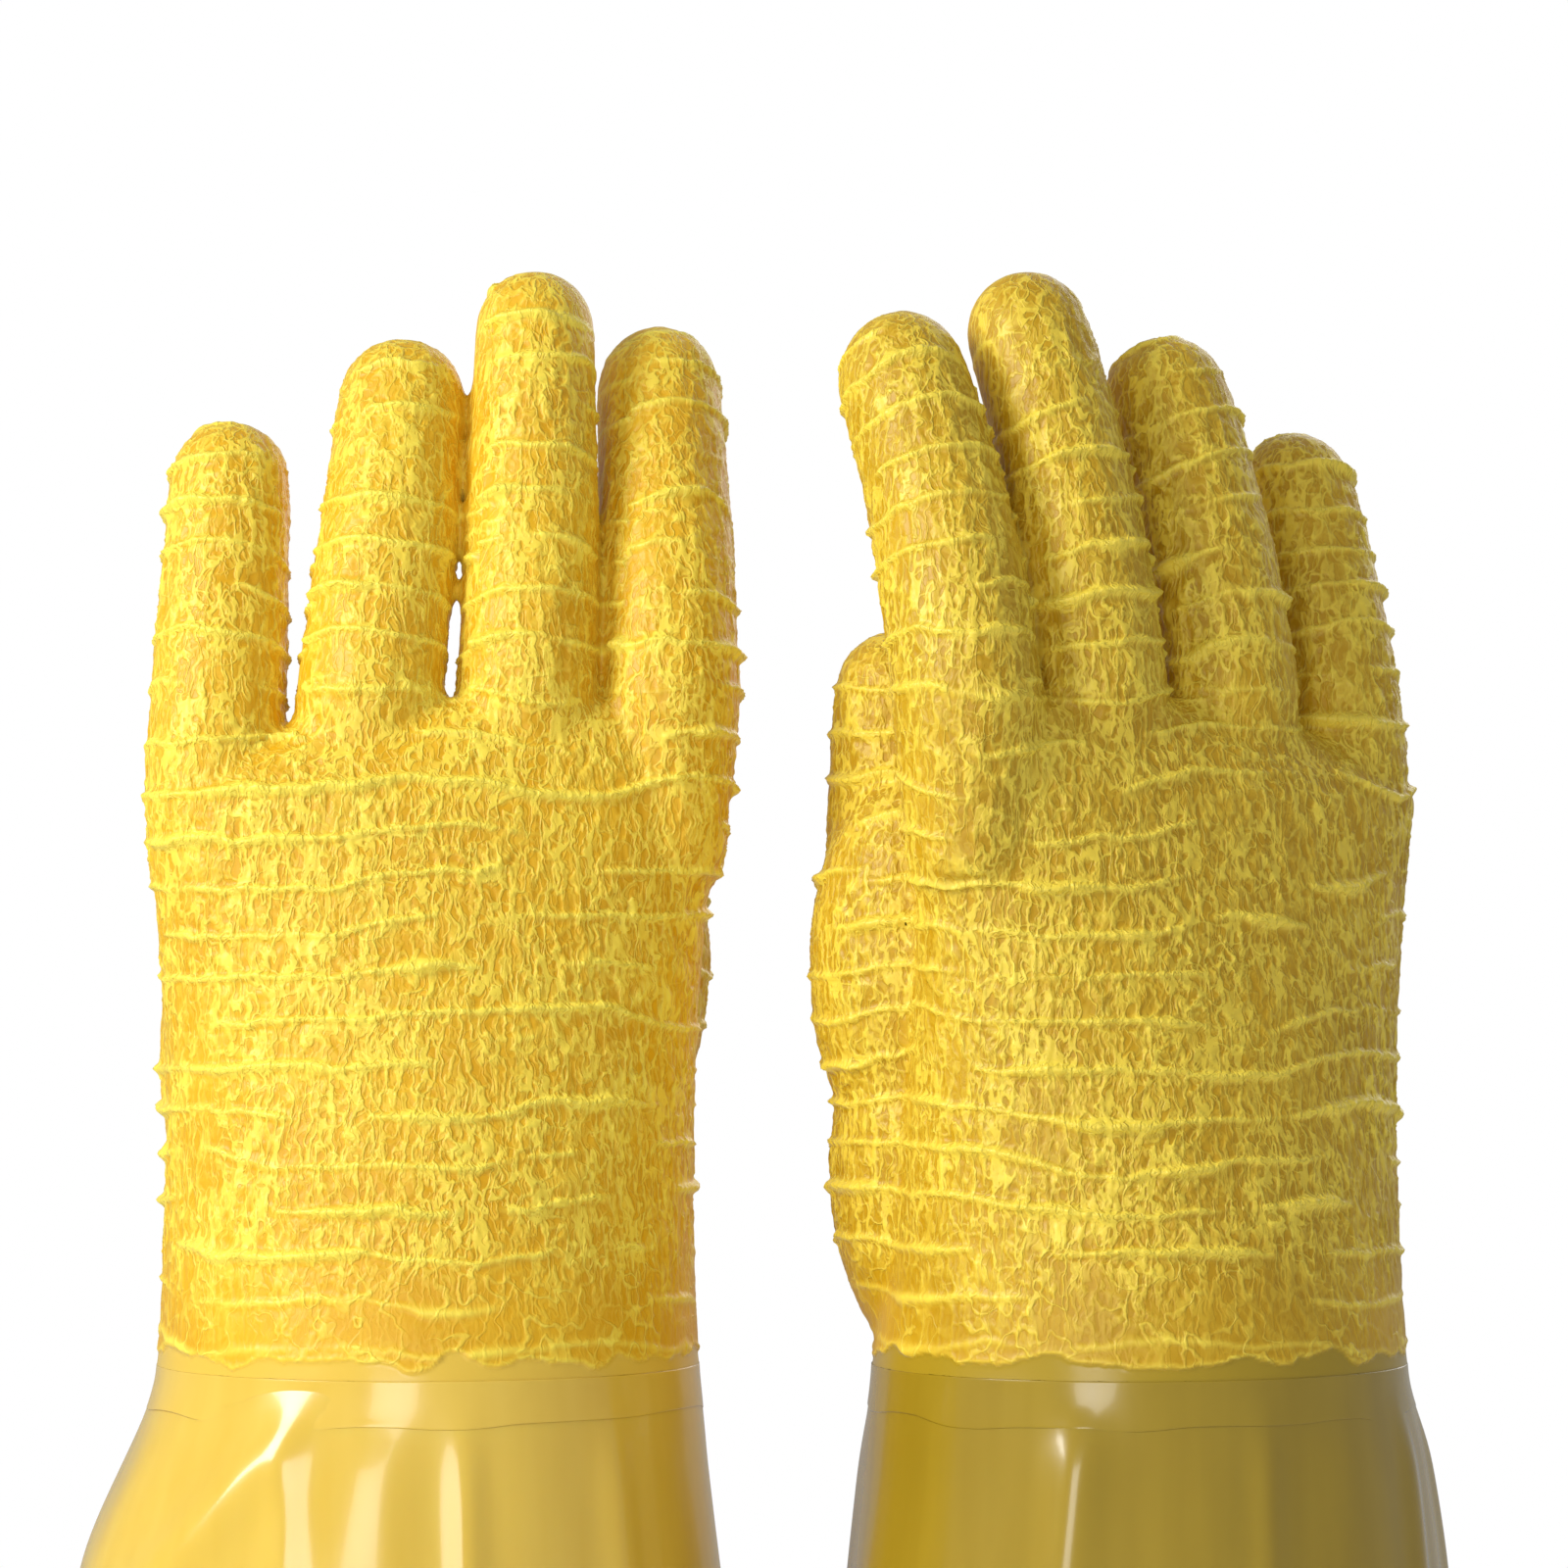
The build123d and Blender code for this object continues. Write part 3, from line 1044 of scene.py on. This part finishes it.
    def build_margin(self) -> None:
        """Models the thin margin of the coat's first dip, below the coat's edge."""
        cuff = self.cuff
        low = cuff.length - cuff.margin_height
        rings = [cuff.ring(height, -0.03) for height in np.linspace(low, cuff.length, 9)]
        piece = Bench.column(self.node("dip_margin"), rings, CUFF_SIDES, capped=False)
        places = cuff.pushed(Bench.points(piece))
        wander = Grain(self.crinkle.seed + 40).at(places / np.array((16.0, 16.0, 90.0))) - 0.5
        share = 1 - np.clip((places[:, 2] - low) / cuff.margin_height, 0, 1)
        places[:, 2] += wander * 3.4 * share
        Bench.move_points(piece, places)
        Bench.modify(piece, "SOLIDIFY", thickness=cuff.margin_wall * MM, offset=1.0)
        Bench.modify(piece, "SUBSURF", levels=1, render_levels=1)
        self.seat(piece, "dip_band", "grip_coat")
        self.hang_cuff(piece)

    def build_bead(self) -> None:
        """Models the rolled bead round the cuff's mouth, flat underneath."""
        cuff = self.cuff
        reach = cuff.wall / 2 + cuff.bead_standout
        steps = 14
        profile = []
        for n in range(steps):
            turn = 2 * math.pi * n / steps
            rise = max(0.0, cuff.bead_height / 2 * (1 + 1.12 * math.sin(turn)))
            profile.append((reach * math.cos(turn), min(rise, cuff.bead_height)))
        middle = cuff.ring(0.0, cuff.wall / 2)
        wide, deep = middle.half_width, middle.half_depth
        rings = [Ring(middle.x, 0, height, wide + out, deep + out) for out, height in profile]
        piece = Bench.column(self.node("bead_roll"), rings + rings[:1], CUFF_SIDES, capped=False)
        merge = partial(bpy.ops.mesh.remove_doubles, threshold=0.00001)
        Bench.edit(piece, merge, partial(bpy.ops.mesh.normals_make_consistent, inside=False))
        self.seat(piece, "cuff_bead", "insulating_shell")
        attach(piece, self.node("gauntlet"))

    def build(self) -> None:
        """Builds the whole glove."""
        self.build_coat()
        self.build_shell()
        self.build_cuff()
        self.build_margin()
        self.build_bead()


# --- The studio ---


@dataclass(frozen=True)
class Lamp:
    """A soft square lamp, in metres, aimed at the gloves' hands."""

    name: str
    place: tuple[float, float, float]
    size: float
    watts: float
    colour: tuple[float, float, float] = (1.0, 0.98, 0.95)


@dataclass(frozen=True)
class Studio:
    """A pale floor, soft lamps, a white surround and the camera."""

    lamps: tuple[Lamp, ...]
    target: tuple[float, float, float]
    distance: float
    field: float  # how much of the gloves' plane the view takes in, across
    surround: float = 0.4  # how bright the surround is as a light
    floor_radius: float = 0.42

    def build(self) -> None:
        """Sets the floor, the lamps, the surround and the camera."""
        self.add_floor()
        for lamp in self.lamps:
            self.add_lamp(lamp)
        self.add_surround()
        self.add_camera()

    def add_floor(self) -> None:
        """Adds a round pale floor under the cuffs."""
        Bench.clear()
        place = (0, 0, -0.0004)  # just below the cuffs, so that the two don't flicker
        bpy.ops.mesh.primitive_circle_add(
            vertices=96, radius=self.floor_radius, fill_type="NGON", location=place
        )
        floor = bpy.context.active_object
        floor.name = "floor"
        paint = Paint("pale_floor")
        paint.set(Base_Color=(0.86, 0.86, 0.85, 1), Roughness=0.6)
        floor.data.materials.append(paint.material)

    def add_lamp(self, lamp: Lamp) -> None:
        """Adds one lamp."""
        data = bpy.data.lights.new(lamp.name, "AREA")
        data.shape = "SQUARE"
        data.size = lamp.size
        data.energy = lamp.watts
        data.color = lamp.colour
        light = bpy.data.objects.new(lamp.name, data)
        light.location = lamp.place
        aim = Vector(self.target) - Vector(lamp.place)
        light.rotation_euler = aim.to_track_quat("-Z", "Y").to_euler()
        bpy.context.scene.collection.objects.link(light)

    def add_surround(self) -> None:
        """Makes the surround white to look at and dimmer as a light."""
        world = bpy.data.worlds.new("surround")
        bpy.context.scene.world = world
        world.use_nodes = True
        tree = world.node_tree
        background = tree.nodes["Background"]
        background.inputs["Color"].default_value = (1, 1, 1, 1)
        path = Signal(tree, tree.nodes.new("ShaderNodeLightPath").outputs["Is Camera Ray"])
        strength = path * (1 - self.surround) + self.surround
        tree.links.new(strength.socket, background.inputs["Strength"])
        bpy.context.scene.view_settings.view_transform = "Standard"

    def add_camera(self) -> None:
        """Adds the camera, level with the backs of the hands."""
        data = bpy.data.cameras.new("camera")
        data.sensor_width = 36.0
        data.lens = data.sensor_width * self.distance / self.field
        camera = bpy.data.objects.new("camera", data)
        x, y, z = self.target
        camera.location = (x, y - self.distance, z)
        camera.rotation_euler = (math.radians(90), 0, 0)
        bpy.context.scene.collection.objects.link(camera)
        bpy.context.scene.camera = camera


def digits(rests: dict[Region, tuple[float, float, float]]) -> tuple[Digit, ...]:
    """The five digits of a hand.

    Args:
        rests: Each digit's tilt, bend and lean at rest, in degrees.

    Returns:
        The digits from the thumb to the little finger.
    """
    plans = (
        (Region.THUMB, (-40.0, 26.0, 225.0), 64.0, 14.2, 14.5, 40.0, 0.9),
        (Region.INDEX, (-47.0, -11.0, 273.0), 83.0, 14.2, 15.8, 34.0, 0.8),
        (Region.MIDDLE, (-18.4, -13.0, 277.0), 87.0, 13.7, 14.0, 36.0, 0.8),
        (Region.RING, (13.0, -12.0, 275.0), 76.0, 14.4, 13.8, 34.0, 0.8),
        (Region.LITTLE, (43.5, -7.0, 261.0), 71.0, 13.6, 13.8, 24.0, 0.8),
    )
    return tuple(Digit(*plan, *rests[plan[0]]) for plan in plans)


LEFT_REST = {
    Region.THUMB: (13.0, -20.0, 2.0),
    Region.INDEX: (12.0, 24.0, -1.2),
    Region.MIDDLE: (8.0, 16.0, -3.0),
    Region.RING: (10.0, 18.0, -8.0),
    Region.LITTLE: (7.0, 14.0, -4.0),
}
RIGHT_REST = {
    Region.THUMB: (13.0, -20.0, 2.0),
    Region.INDEX: (7.0, 29.0, -1.2),
    Region.MIDDLE: (6.0, 25.0, -2.3),
    Region.RING: (7.0, 23.0, -2.5),
    Region.LITTLE: (9.0, 19.0, 0.5),
}
LEFT_FOLDS = (
    Fold(30.0, 78.0, 140.0, 78.0, 2.6, 7.0),
    Fold(36.0, 30.0, 141.0, 30.0, 1.5, 3.4),
    Fold(-2.0, -4.0, 141.0, 30.0, 1.5, 3.4),
    Fold(-36.0, -40.0, 141.0, 30.0, 1.4, 3.6),
    Fold(120.0, 112.0, 140.0, 40.0, 1.8, 6.0),
    Fold(-120.0, -128.0, 140.0, 50.0, 1.8, 6.0),
)
RIGHT_FOLDS = (
    Fold(-44.0, -52.0, 141.0, 60.0, 1.8, 5.0),
    Fold(-4.0, -6.0, 141.0, 40.0, 1.2, 3.0),
    Fold(40.0, 38.0, 141.0, 40.0, 1.3, 3.4),
    Fold(62.0, 66.0, 141.0, 50.0, 1.6, 4.2),
    Fold(140.0, 132.0, 140.0, 40.0, 1.8, 6.0),
    Fold(-130.0, -122.0, 140.0, 50.0, 1.8, 6.0),
)


def main() -> None:
    """Builds the two gloves and the studio."""
    logging.basicConfig(level=logging.INFO, format="%(name)s: %(message)s")
    left = Glove(
        Side.LEFT,
        Hand(digits(LEFT_REST)),
        CuffForm(LEFT_FOLDS, bulge=9.0, bulge_angle=90.0, opening=1.5),
        Crinkle(seed=11),
        CrinkledCoat("crinkled_coat_left"),
        SmoothLatex("smooth_latex_left"),
        SmoothLatex("dip_film_left", glow=0.0),
    )
    # Painted shade: the right glove's latex colours below are darker copies of the left glove's,
    # for the light that falls off towards the right glove; the rubber is the same.
    painted_shade_latex, shade = linear(172, 145, 36), linear(148, 123, 25)
    right = Glove(
        Side.RIGHT,
        Hand(digits(RIGHT_REST)),
        CuffForm(RIGHT_FOLDS, bulge=1.0, bulge_angle=90.0, opening=1.4),
        Crinkle(seed=53),
        CrinkledCoat(
            "crinkled_coat_right",
            # Painted shade: these coat colours are darker copies of the left glove's coat, for the
            # light that falls off towards the right glove.
            ground=linear(207, 162, 14),
            deep=linear(186, 143, 5),
            ridge=linear(250, 224, 78),
            bare=painted_shade_latex,
        ),
        SmoothLatex("smooth_latex_right", body=painted_shade_latex, shade=shade),
        SmoothLatex("dip_film_right", body=painted_shade_latex, shade=shade, glow=0.0),
    )
    for glove in (left, right):
        glove.build()
    middle = (left.middle + right.middle) / 2 * MM
    studio = Studio(
        lamps=(
            Lamp("key", (-0.95, -0.62, 0.75), 0.5, 12.5),
            Lamp("window", (-0.25, -1.1, 0.25), 0.35, 2.2),
            Lamp("back", (0.5, 0.9, 0.7), 0.8, 4.0),
        ),
        target=(float(middle[0]), 0.0, 0.258),
        distance=1.6,
        field=0.315,
    )
    studio.build()


if __name__ == "__main__":
    main()
